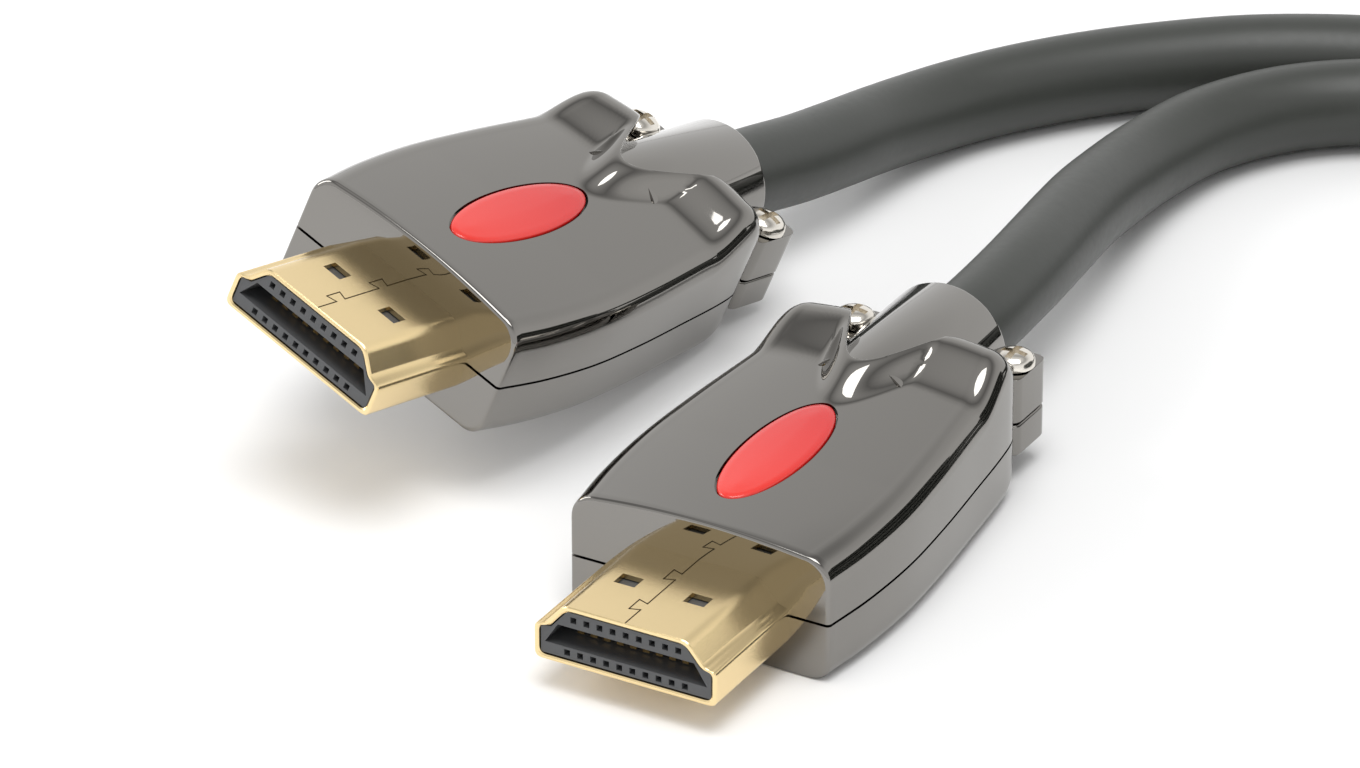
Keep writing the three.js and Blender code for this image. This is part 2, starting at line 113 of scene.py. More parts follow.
def new_object(name: str, vertices: Sequence[Point], faces: Sequence[Sequence[int]]) -> bpy.types.Object:
    """Make a mesh object from points in millimetres.

    Args:
        name: The object's name.
        vertices: Points in millimetres.
        faces: Point numbers of each face.

    Returns:
        The new object, linked to the scene, with outward normals.
    """
    mesh = bpy.data.meshes.new(name)
    mesh.from_pydata([tuple(c * MM for c in p) for p in vertices], [], [tuple(f) for f in faces])
    mesh.validate()
    built = bmesh.new()
    built.from_mesh(mesh)
    bmesh.ops.remove_doubles(built, verts=built.verts, dist=WELD_M)
    bmesh.ops.recalc_face_normals(built, faces=built.faces)
    built.to_mesh(mesh)
    built.free()
    obj = bpy.data.objects.new(name, mesh)
    bpy.context.scene.collection.objects.link(obj)
    return obj


def loft(name: str, loops: Sequence[Sequence[Point]], capped: bool = True) -> bpy.types.Object:
    """Join closed loops of equal length into one skin.

    Args:
        name: The object's name.
        loops: Closed loops of points in millimetres.
        capped: Close both ends, or else join the last loop to the first.

    Returns:
        The new object.
    """
    count = len(loops[0])
    vertices = [p for loop in loops for p in loop]
    faces: list[list[int]] = []
    pairs = list(zip(range(len(loops) - 1), range(1, len(loops))))
    if not capped:
        pairs.append((len(loops) - 1, 0))
    for a, b in pairs:
        for i in range(count):
            j = (i + 1) % count
            faces.append([a * count + i, a * count + j, b * count + j, b * count + i])
    if capped:
        faces.append(list(range(count)))
        faces.append([(len(loops) - 1) * count + i for i in reversed(range(count))])
    return new_object(name, vertices, faces)


def fillet(corners: Sequence[Flat], radius: float, steps: int = 5) -> list[Flat]:
    """Round each corner of a closed outline.

    Args:
        corners: The outline's corners.
        radius: How far each corner is cut back along its sides.
        steps: Points along each rounded corner, less one.

    Returns:
        The outline's points.
    """
    points: list[Flat] = []
    for i, corner in enumerate(corners):
        here = Vector(corner)
        before = Vector(corners[i - 1]) - here
        after = Vector(corners[(i + 1) % len(corners)]) - here
        cut = min(radius, CORNER_SHARE * before.length, CORNER_SHARE * after.length)
        start = here + before.normalized() * cut
        end = here + after.normalized() * cut
        for k in range(steps + 1):
            t = k / steps
            bend = start * (1 - t) ** 2 + here * 2 * t * (1 - t) + end * t**2
            points.append((bend.x, bend.y))
    return points


def soften(obj: bpy.types.Object, angle: float = 32.0) -> None:
    """Shade an object smooth, with edges sharper than an angle left crisp."""
    for face in obj.data.polygons:
        face.use_smooth = True
    obj.data.set_sharp_from_angle(angle=math.radians(angle))


def bevel(obj: bpy.types.Object, width: float, segments: int = 3, angle: float = 35.0) -> None:
    """Round an object's edges sharper than an angle, by a width in millimetres."""
    modifier = obj.modifiers.new("rounded edges", "BEVEL")
    modifier.width = width * MM
    modifier.segments = segments
    modifier.limit_method = "ANGLE"
    modifier.angle_limit = math.radians(angle)
    modifier.harden_normals = True


def carve(obj: bpy.types.Object, cutters: Sequence[bpy.types.Object]) -> None:
    """Cut other objects out of an object, and delete them."""
    for cutter in cutters:
        modifier = obj.modifiers.new("cut", "BOOLEAN")
        modifier.operation = "DIFFERENCE"
        modifier.solver = "EXACT"
        modifier.object = cutter
    graph = bpy.context.evaluated_depsgraph_get()
    mesh = bpy.data.meshes.new_from_object(obj.evaluated_get(graph))
    obj.modifiers.clear()
    obj.data = mesh
    for cutter in cutters:
        bpy.data.objects.remove(cutter)


def block(name: str, x: Flat, y: Flat, z: Flat) -> bpy.types.Object:
    """Make a box between two limits on each axis, in millimetres."""
    loops = [[(x[0], y[0], h), (x[1], y[0], h), (x[1], y[1], h), (x[0], y[1], h)] for h in z]
    return loft(name, loops)


def disc_loop(radius: float, centre: Point, steps: int = 48, along_y: bool = False) -> list[Point]:
    """Return a circle of points, level or facing along Y."""
    cx, cy, cz = centre
    loop: list[Point] = []
    for k in range(steps):
        a = 2 * math.pi * k / steps
        u, v = radius * math.cos(a), radius * math.sin(a)
        loop.append((cx + u, cy, cz + v) if along_y else (cx + u, cy + v, cz))
    return loop


@dataclass(frozen=True)
class Finish:
    """A plain finish with a fine random grain.

    Its values are the Principled BSDF's own. grain_scale is per metre. A painted_light_fade is painted
    light: it has another colour and two distances behind the mouth, in millimetres, between which that
    colour runs into the main one.
    The slot is the record's slot, where its name isn't the finish's own; it is not used.
    """

    name: str
    colour: Point
    roughness: float
    metallic: float = 0.0
    grain_scale: float = 4000.0
    grain_height: float = 0.0
    rough_spread: float = 0.0
    shade_spread: float = 0.0
    coat: float = 0.0
    # Painted light: another colour run into the main one between two distances behind the mouth.
    painted_light_fade: tuple[Point, float, float] | None = None
    slot: str = ""

    def build(self) -> bpy.types.Material:
        """Return the material, made once."""
        title = f"{self.name} finish"
        found = bpy.data.materials.get(title)
        if found:
            return found
        material = bpy.data.materials.new(title)
        material.use_nodes = True
        tree = material.node_tree
        shader = tree.nodes["Principled BSDF"]
        shader.inputs["Base Color"].default_value = (*self.colour, 1)
        shader.inputs["Metallic"].default_value = self.metallic
        shader.inputs["Roughness"].default_value = self.roughness
        shader.inputs["Coat Weight"].default_value = self.coat
        grain = tree.nodes.new("ShaderNodeGroup")
        grain.node_tree = grain_group()
        grain.inputs["Scale"].default_value = self.grain_scale
        grain.inputs["Roughness"].default_value = self.roughness
        grain.inputs["Roughness Spread"].default_value = self.rough_spread
        grain.inputs["Height"].default_value = self.grain_height
        grain.inputs["Colour"].default_value = (*self.colour, 1)
        grain.inputs["Shade Spread"].default_value = self.shade_spread
        tree.links.new(grain.outputs["Roughness"], shader.inputs["Roughness"])
        tree.links.new(grain.outputs["Normal"], shader.inputs["Normal"])
        tree.links.new(grain.outputs["Colour"], shader.inputs["Base Color"])
        if self.painted_light_fade:
            self.add_painted_light_fade(tree, grain)
        return material

    def add_painted_light_fade(self, tree: bpy.types.NodeTree, grain: bpy.types.Node) -> None:
        """Paint light: run the other colour into the main one, from the mouth towards the cable."""
        other, start, end = self.painted_light_fade
        place = tree.nodes.new("ShaderNodeAttribute")
        place.attribute_name = PLUG_PLACE
        split = tree.nodes.new("ShaderNodeSeparateXYZ")
        span = tree.nodes.new("ShaderNodeMapRange")
        mix = tree.nodes.new("ShaderNodeMix")
        mix.data_type = "RGBA"
        span.inputs["From Min"].default_value = start * MM
        span.inputs["From Max"].default_value = end * MM
        mix.inputs[MIX_START].default_value = (*other, 1)
        mix.inputs[MIX_END].default_value = (*self.colour, 1)
        tree.links.new(place.outputs["Vector"], split.inputs["Vector"])
        tree.links.new(split.outputs["Y"], span.inputs["Value"])
        tree.links.new(span.outputs["Result"], mix.inputs[MIX_FACTOR])
        tree.links.new(mix.outputs[MIX_RESULT], grain.inputs["Colour"])


def grain_group() -> bpy.types.NodeTree:
    """Return the shared node group that varies roughness, shade and normal by fine noise."""
    found = bpy.data.node_groups.get("fine grain")
    if found:
        return found
    group = bpy.data.node_groups.new("fine grain", "ShaderNodeTree")
    for name, kind in (
        ("Colour", "NodeSocketColor"),
        ("Scale", "NodeSocketFloat"),
        ("Roughness", "NodeSocketFloat"),
        ("Roughness Spread", "NodeSocketFloat"),
        ("Height", "NodeSocketFloat"),
        ("Shade Spread", "NodeSocketFloat"),
    ):
        group.interface.new_socket(name, in_out="INPUT", socket_type=kind)
    for name, kind in (
        ("Colour", "NodeSocketColor"),
        ("Roughness", "NodeSocketFloat"),
        ("Normal", "NodeSocketVector"),
    ):
        group.interface.new_socket(name, in_out="OUTPUT", socket_type=kind)
    nodes, links = group.nodes, group.links
    given, out = nodes.new("NodeGroupInput"), nodes.new("NodeGroupOutput")
    place, noise = nodes.new("ShaderNodeTexCoord"), nodes.new("ShaderNodeTexNoise")
    noise.inputs["Detail"].default_value = GRAIN_DETAIL
    centred, rough = nodes.new("ShaderNodeMath"), nodes.new("ShaderNodeMath")
    centred.operation = "SUBTRACT"
    centred.inputs[1].default_value = GRAIN_MIDDLE
    rough.operation = "MULTIPLY_ADD"
    bump = nodes.new("ShaderNodeBump")
    bump.inputs["Distance"].default_value = GRAIN_BUMP_M
    shade, tint = nodes.new("ShaderNodeMath"), nodes.new("ShaderNodeHueSaturation")
    shade.operation = "MULTIPLY_ADD"
    shade.inputs[2].default_value = 1
    links.new(place.outputs["Object"], noise.inputs["Vector"])
    links.new(given.outputs["Scale"], noise.inputs["Scale"])
    links.new(noise.outputs["Fac"], centred.inputs[0])
    links.new(centred.outputs[0], rough.inputs[0])
    links.new(given.outputs["Roughness Spread"], rough.inputs[1])
    links.new(given.outputs["Roughness"], rough.inputs[2])
    links.new(centred.outputs[0], shade.inputs[0])
    links.new(given.outputs["Shade Spread"], shade.inputs[1])
    links.new(given.outputs["Colour"], tint.inputs["Color"])
    links.new(shade.outputs[0], tint.inputs["Value"])
    links.new(noise.outputs["Fac"], bump.inputs["Height"])
    links.new(given.outputs["Height"], bump.inputs["Strength"])
    links.new(tint.outputs["Color"], out.inputs["Colour"])
    links.new(rough.outputs[0], out.inputs["Roughness"])
    links.new(bump.outputs["Normal"], out.inputs["Normal"])
    return group


GOLD = Finish(
    "gold_plate", (0.88, 0.69, 0.38), 0.24, 1, grain_scale=9000, grain_height=0.06, rough_spread=0.12,
)
CONTACT = Finish("contact_gold", (0.90, 0.62, 0.25), 0.22, 1, rough_spread=0.1)
CHROME = Finish("black_chrome", (0.245, 0.235, 0.22), 0.035, 1, rough_spread=0.02)
NICKEL = Finish("nickel_plate", (0.80, 0.76, 0.69), 0.14, 1, rough_spread=0.05)
PLASTIC = Finish("grey_plastic", (0.075, 0.077, 0.08), 0.5, rough_spread=0.1)
# The badge's front end is painted lighter, painted light that runs into its own red behind.
RED = Finish(
    "red_enamel", (0.60, 0.010, 0.010), 0.2, coat=0.3, rough_spread=0.05,
    painted_light_fade=((0.74, 0.035, 0.025), 14, 26),
)
SHEATH = Finish(
    "cable_sheath", (0.042, 0.045, 0.040), 0.42, grain_scale=1500, grain_height=0.08,
    rough_spread=0.12, shade_spread=0.1,
)
STRAP = Finish(
    "tie_strap", (0.012, 0.012, 0.013), 0.85, grain_scale=2500, grain_height=0.6,
    rough_spread=0.1, shade_spread=0.5,
)
# Painted shadow: a dark gold for the ribbon laid over the shell's seam, where the gap falls in shade.
PAINTED_SEAM_SHADOW = Finish("seam_shadow", (0.10, 0.07, 0.03), 0.5, 1, rough_spread=0.1, slot="gold_plate")


@dataclass
class Plug:
    """One plug: shell, hood halves, badge, clamp halves and screws, over the CAD's tongue parts."""

    side: Side
    nodes: dict[str, bpy.types.Object]
    screw_x: float = 6.3

    def piece(self, obj: bpy.types.Object, finish: Finish, *stands_for: str) -> None:
        """Place a piece, give it its finish, hide the CAD nodes that it replaces and attach it to the root
        body.
        """
        mesh = obj.data
        places = mesh.attributes.new(PLUG_PLACE, "FLOAT_VECTOR", "POINT")
        places.data.foreach_set("vector", [c for v in mesh.vertices for c in v.co])
        mesh.transform(PLACEMENTS[self.side].matrix())
        obj.data.materials.clear()
        obj.data.materials.append(finish.build())
        if stands_for:
            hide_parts(*(f"{self.side.value}_{node}" for node in stands_for))
        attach(obj, "root")

    def name(self, part: str) -> str:
        """Return the name of this plug's piece."""
        return f"{self.side.value}_{part}_look"

    def build(self) -> None:
        """Make every piece of the plug."""
        Shell(self).build()
        for half in Half:
            HoodHalf(self, half).build()
            ClampHalf(self, half).build()
        Badge(self).build()
        for x in (-self.screw_x, self.screw_x):
            Screw(self, x).build()
        self.carry()

    def carry(self) -> None:
        """Give the CAD's insulator and contacts their finishes."""
        for node, obj in self.nodes.items():
            if not node.startswith(self.side.value):
                continue
            finish = PLASTIC if "insulator" in node else CONTACT if "contact" in node else None
            if finish:
                obj.data.materials.clear()
                obj.data.materials.append(finish.build())


@dataclass
class Shell:
    """The gold plug shell with its latch windows and rolled seam."""

    plug: Plug
    width: float = 13.9
    height: float = 4.45
    wall: float = 0.35
    side_height: float = 2.6
    shoulder_inset: float = 0.82
    shoulder_rise: float = 0.17
    top_width: float = 9.5
    bottom: float = 2.3
    length: float = 15.5
    exposed: float = 9.9
    corner: float = 0.55
    window: Flat = (1.6, 1.3)
    window_x: float = 2.65
    window_y: float = 5.15
    window_cut: float = 1.0
    top_growth: float = 0.6
    side_growth: float = 0.4
    outer_lip: tuple[Flat, ...] = ((0, 0.12), (-0.05, 0.03), (-0.13, 0.0))
    inner_lip: tuple[Flat, ...] = ((0.1, 0.0), (0, 0.08))
    seam_width: float = 0.09
    seam_proud: float = 0.012
    seam_start: float = 0.15
    key_places: Flat = (2.6, 7.2)
    key_reach: float = 0.75
    key_neck: float = 0.45
    key_head: float = 0.7

    def outline(self, offset: float) -> list[Flat]:
        """Return the rounded mouth outline, grown by an offset."""
        half = self.width / 2 + offset
        shoulder = self.width / 2 - self.shoulder_inset + offset
        top = self.top_width / 2 + offset * self.top_growth
        z0 = self.bottom - offset
        side = self.bottom + self.side_height + offset * self.side_growth
        step = side + self.shoulder_rise
        roof = self.bottom + self.height + offset
        corners = [
            (-half, z0), (half, z0), (half, side), (shoulder, step),
            (top, roof), (-top, roof), (-shoulder, step), (-half, side),
        ]
        return fillet(corners, self.corner)

    def loops(self) -> list[list[Point]]:
        """Return the skin's loops, outside first, round the rim and back inside."""
        stations = [(0, self.length), *self.outer_lip]
        stations += [(inset - self.wall, y) for inset, y in self.inner_lip]
        stations.append((-self.wall, self.length))
        return [[(x, y, z) for x, z in self.outline(offset)] for offset, y in stations]

    def seam(self) -> list[Flat]:
        """Return the seam's line from the mouth to the hood, with its two dovetail keys."""
        reach, neck, head = self.key_reach, self.key_neck, self.key_head
        line: list[Flat] = [(0, self.seam_start)]
        for y in self.key_places:
            line += [(0, y - neck), (-reach, y - head), (-reach, y + head), (0, y + neck)]
        line.append((0, self.exposed))
        return line

    def build(self) -> None:
        """Make the shell, and its seam as a ribbon of painted shadow."""
        obj = loft(self.plug.name("shell"), self.loops(), capped=False)
        roof = self.bottom + self.height
        cutters = []
        for x in (-self.window_x, self.window_x):
            wide, long = self.window
            span = (x - wide / 2, x + wide / 2)
            reach = (self.window_y - long / 2, self.window_y + long / 2)
            cutters.append(block("window", span, reach, (roof - self.window_cut, roof + self.window_cut)))
        carve(obj, cutters)
        soften(obj, angle=28)
        self.plug.piece(obj, GOLD, "shell")
        # The seam's ribbon is painted shadow, a dark strip laid just over the shell along its gap.
        z = roof + self.seam_proud
        ribbon = ribbon_mesh(self.plug.name("seam"), self.seam(), self.seam_width, z)
        self.plug.piece(ribbon, PAINTED_SEAM_SHADOW)


def ribbon_mesh(name: str, line: Sequence[Flat], width: float, height: float) -> bpy.types.Object:
    """Make a thin level ribbon along a line, one strip for each stretch."""
    vertices: list[Point] = []
    faces: list[list[int]] = []
    for a, b in zip(line, line[1:]):
        run = Vector((b[0] - a[0], b[1] - a[1]))
        run = run.normalized() * width / 2
        across = Vector((-run.y, run.x))
        start, end = Vector(a) - run, Vector(b) + run
        base = len(vertices)
        for corner in (start - across, start + across, end + across, end - across):
            vertices.append((corner.x, corner.y, height))
        faces.append([base, base + 1, base + 2, base + 3])
    return new_object(name, vertices, faces)


@dataclass
class HoodHalf:
    """One half of the mirror-bright metal hood."""

    plug: Plug
    half: Half
    front: float = 9.9
    length: float = 30.5
    parting: float = 4.4
    parting_gap: float = 0.2
    front_top: float = 9.7
    badge_top: float = 10.0
    rear_top: float = 10.7
    crown: float = 0.75
    shoulder_radius: float = 1.9
    underside_radius: float = 1.4
    notch_depth: float = 8.6
    notch_half: float = 6.0
    lip_rise: float = 1.5
    lip_length: float = 4.5
    ear_setback: float = 3.2
    ear_drop: float = 2.5
    heel_rise: float = 1.6
    edge_radius: float = 0.28
    badge_setback: float = 10.6
    stations: int = 60
    shoulder_steps: int = 10
    face_steps: int = 27
    edge_steps: int = 5
    side_line: tuple[Flat, ...] = (
        (0, 9.95), (4.6, 10.5), (10, 10.65), (15.6, 10.25),
        (21.2, 9.6), (27, 8.85), (29.2, 8.3), (30.5, 7.3),
    )

    def half_width(self, along: float) -> float:
        """Return the half width at a distance behind the front face, by a smooth curve."""
        line = self.side_line
        spot = next((i for i in range(len(line) - 1) if along <= line[i + 1][0]), len(line) - 2)
        p = [line[max(0, min(len(line) - 1, spot + k))] for k in (-1, 0, 1, 2)]
        t = (along - p[1][0]) / (p[2][0] - p[1][0])
        span = p[2][0] - p[1][0]
        slope_a = (p[2][1] - p[0][1]) / max(p[2][0] - p[0][0], TINY) * span
        slope_b = (p[3][1] - p[1][1]) / max(p[3][0] - p[1][0], TINY) * span
        cube, square = t**3, t**2
        return (
            (2 * cube - 3 * square + 1) * p[1][1]
            + (cube - 2 * square + t) * slope_a
            + (3 * square - 2 * cube) * p[2][1]
            + (cube - square) * slope_b
        )

    def reach(self, x: float) -> float:
        """Return how far back the half reaches at x, with the notch in the upper one."""
        rear = self.front + self.length
        if self.half is Half.LOWER:
            return rear
        blend = (1 - math.cos(math.pi * min(abs(x) / self.notch_half, 1))) / 2
        return rear - self.notch_depth * (1 - blend)

    def surface(self, x: float, y: float, half_width: float) -> float:
        """Return the height of the half's outer face."""
        rear = self.front + self.length
        crest = rear - self.ear_setback
        tail = max(0.0, (y - crest) / self.ear_setback) ** 2
        if self.half is Half.LOWER:
            return self.heel_rise * tail
        t = (y - self.front) / self.length
        middle = self.badge_setback / self.length
        if t < middle:
            base = self.front_top + (self.badge_top - self.front_top) * t / middle
        else:
            base = self.badge_top + (self.rear_top - self.badge_top) * (t - middle) / (1 - middle)
        rim = min(self.reach(x), crest)
        near = min(max(1 - (rim - y) / self.lip_length, 0), 1)
        lip = self.lip_rise * near * near * (3 - 2 * near)
        return base - self.crown * (x / half_width) ** 2 + lip - self.ear_drop * tail

    def row(self, along: float, inset: float) -> list[Point]:
        """Return one section from its right parting edge over the outer face to the left one."""
        upper = self.half is Half.UPPER
        up = 1 if upper else -1
        radius = self.shoulder_radius if upper else self.underside_radius
        parting = self.parting + up * self.parting_gap / 2
        half = self.half_width(along) - inset
        y = self.front + along
        flat = half - radius
        edge = self.surface(flat, y, half) - up * inset
        right: list[Point] = [(half, y, parting)]
        for k in range(self.shoulder_steps):
            a = math.radians(90 / self.shoulder_steps * k)
            z = edge - up * radius * (1 - math.sin(a))
            right.append((flat + radius * math.cos(a), y, z))
        for k in range(self.face_steps + 1):
            x = flat * (1 - k / self.face_steps)
            y_here = self.front + (along / self.length) * (self.reach(x) - self.front)
            right.append((x, y_here, self.surface(x, y_here, half) - up * inset))
        left = [(-x, y_here, z) for x, y_here, z in reversed(right[:-1])]
        return right + left

    def build(self) -> None:
        """Make the half, with rounded front and rear edges."""
        r = self.edge_radius
        angles = [math.pi / 2 * k / self.edge_steps for k in range(self.edge_steps + 1)]
        rounding = [(r * (1 - math.cos(a)), r * (1 - math.sin(a))) for a in angles]
        rows = [self.row(along, inset) for along, inset in rounding]
        step = (self.length - 2 * r) / self.stations
        rows += [self.row(r + step * k, 0) for k in range(1, self.stations)]
        rows += [self.row(self.length - along, inset) for along, inset in reversed(rounding)]
        up = 1 if self.half is Half.UPPER else -1
        parting = self.parting + up * self.parting_gap / 2
        # Two points between the edges keep each section closed along the parting plane.
        loops = [row + [(row[-1][0] * s, row[-1][1], parting) for s in (0.5, -0.5)] for row in rows]
        loops.append([(x, y, parting) for x, y, _ in loops[-1]])
        obj = loft(self.plug.name(f"hood_{self.half.value}"), loops)
        if self.half is Half.UPPER:
            carve(obj, [Badge(self.plug).pocket()])
        soften(obj, angle=30)
        self.plug.piece(obj, CHROME, f"hood_{self.half.value}")


@dataclass
class Badge:
    """The plain red oval let into the hood's top."""

    plug: Plug
    length: float = 14.0
    width: float = 4.9
    depth: float = 0.5
    proud: float = 0.1
    setback: float = 10.6
    groove: float = 0.16
    dome: float = 0.22
    play: float = 0.1
    pocket_top: float = 1.5
    steps: int = 96
    crown: tuple[Flat, ...] = ((-0.05, -0.1), (-0.16, -0.03), (-0.6, 0), (-1.2, 0.05), (-2.0, 0.09))

    def frame(self) -> Matrix:
        """Return the matrix from the badge's plane to the plug's frame, in millimetres."""
        hood = HoodHalf(self.plug, Half.UPPER)
        y = hood.front + self.setback
        reach = self.length / 2
        rise = hood.surface(0, y + reach, hood.length) - hood.surface(0, y - reach, hood.length)
        tilt = Matrix.Rotation(math.atan2(rise, self.length), 4, "X")
        return Matrix.Translation((0, y, hood.surface(0, y, hood.length))) @ tilt

    def loop(self, grow: float, height: float) -> list[Point]:
        """Return one oval, grown all round, at a height over the hood."""
        place = self.frame()
        across, along = self.width / 2 + grow, self.length / 2 + grow
        points: list[Point] = []
        for k in range(self.steps):
            a = 2 * math.pi * k / self.steps
            points.append(tuple(place @ Vector((across * math.cos(a), along * math.sin(a), height))))
        return points

    def pocket(self) -> bpy.types.Object:
        """Return the cutter for the badge's recess."""
        heights = (-self.depth - self.play, self.pocket_top)
        return loft("badge_pocket", [self.loop(self.groove, height) for height in heights])

    def build(self) -> None:
        """Make the badge as a shallow dome."""
        stations = [(0, -self.depth), (0, self.proud - self.dome)]
        stations += [(grow, self.proud + rise) for grow, rise in self.crown]
        obj = loft(self.plug.name("badge"), [self.loop(grow, height) for grow, height in stations])
        soften(obj, angle=40)
        self.plug.piece(obj, RED, "badge")


@dataclass
class ClampHalf:
    """One half of the cable clamp: a plate with two lugs and its share of the neck."""

    plug: Plug
    half: Half
    front: float = 40.7
    rear: float = 45.1
    neck_front: float = 32.1
    half_width: float = 7.75
    top: float = 7.87
    bottom: float = 1.84
    parting: float = 4.4
    parting_gap: float = 0.2
    axis: float = 6.93
    radius: float = 4.7
    bore: float = 3.5
    bore_cut: Flat = (30, 50)
    corner: float = 0.8
    edge_radius: float = 0.3
    rim_radius: float = 0.35
    rim_shoulder: float = 0.1
    neck_steps: int = 72

    def plate(self) -> bpy.types.Object:
        """Return the plate that carries the lugs."""
        half = self.half_width
        corners = [(-half, self.front), (half, self.front), (half, self.rear), (-half, self.rear)]
        outline = fillet(corners, self.corner)
        if self.half is Half.UPPER:
            heights = (self.parting + self.parting_gap / 2, self.top)
        else:
            heights = (self.bottom, self.parting - self.parting_gap / 2)
        return loft("plate", [[(x, y, z) for x, y in outline] for z in heights])

    def neck(self) -> bpy.types.Object:
        """Return the neck's tube with a rounded rear edge, open for the cable."""
        stations = [(self.radius, self.neck_front), (self.radius, self.rear - self.rim_radius)]
        stations.append((self.radius - self.rim_shoulder, self.rear - self.rim_shoulder))
        stations.append((self.radius - self.rim_radius, self.rear))
        stations += [(self.bore, self.rear), (self.bore, self.neck_front)]
        loops = [disc_loop(r, (0, y, self.axis), self.neck_steps, along_y=True) for r, y in stations]
        return loft(self.plug.name("neck"), loops, capped=False)

    def build(self) -> None:
        """Make the plate, and the neck with the upper half."""
        part = f"clamp_{self.half.value}"
        plate = self.plate()
        plate.name = self.plug.name(part)
        bore = loft("bore", [disc_loop(self.bore, (0, y, self.axis), along_y=True) for y in self.bore_cut])
        carve(plate, [bore])
        bevel(plate, self.edge_radius)
        soften(plate)
        self.plug.piece(plate, CHROME, part)
        if self.half is Half.UPPER:
            neck = self.neck()
            soften(neck, angle=40)
            self.plug.piece(neck, CHROME)


@dataclass
class Screw:
    """A pan-head screw with a cross recess."""

    plug: Plug
    x: float
    y: float = 42.9
    seat: float = 7.87
    radius: float = 1.5
    # Each station's share of the radius, and its height over the seat.
    profile: tuple[Flat, ...] = (
        (1.0, 0.1), (1.0, 0.45), (0.93, 0.68), (0.8, 0.86), (0.6, 1.0), (0.35, 1.08), (0.1, 1.1),
    )
    slot_long: float = 0.95
    slot_half: float = 0.24
    slot_depth: float = 0.6
    slot_cut: float = 1.0

    def build(self) -> None:
        """Make the head with its recess."""
        loops = [disc_loop(self.radius * r, (self.x, self.y, self.seat + z)) for r, z in self.profile]
        side = "left" if self.x < 0 else "right"
        obj = loft(self.plug.name(f"screw_{side}"), loops)
        top = self.seat + self.profile[-1][1]
        deep = (top - self.slot_depth, top + self.slot_cut)
        long, thin = self.slot_long, self.slot_half
        arms = [(long, thin), (thin, long)]
        carve(obj, [block("arm", (self.x - a, self.x + a), (self.y - b, self.y + b), deep) for a, b in arms])
        soften(obj, angle=35)
        self.plug.piece(obj, NICKEL, f"screw_{side}")


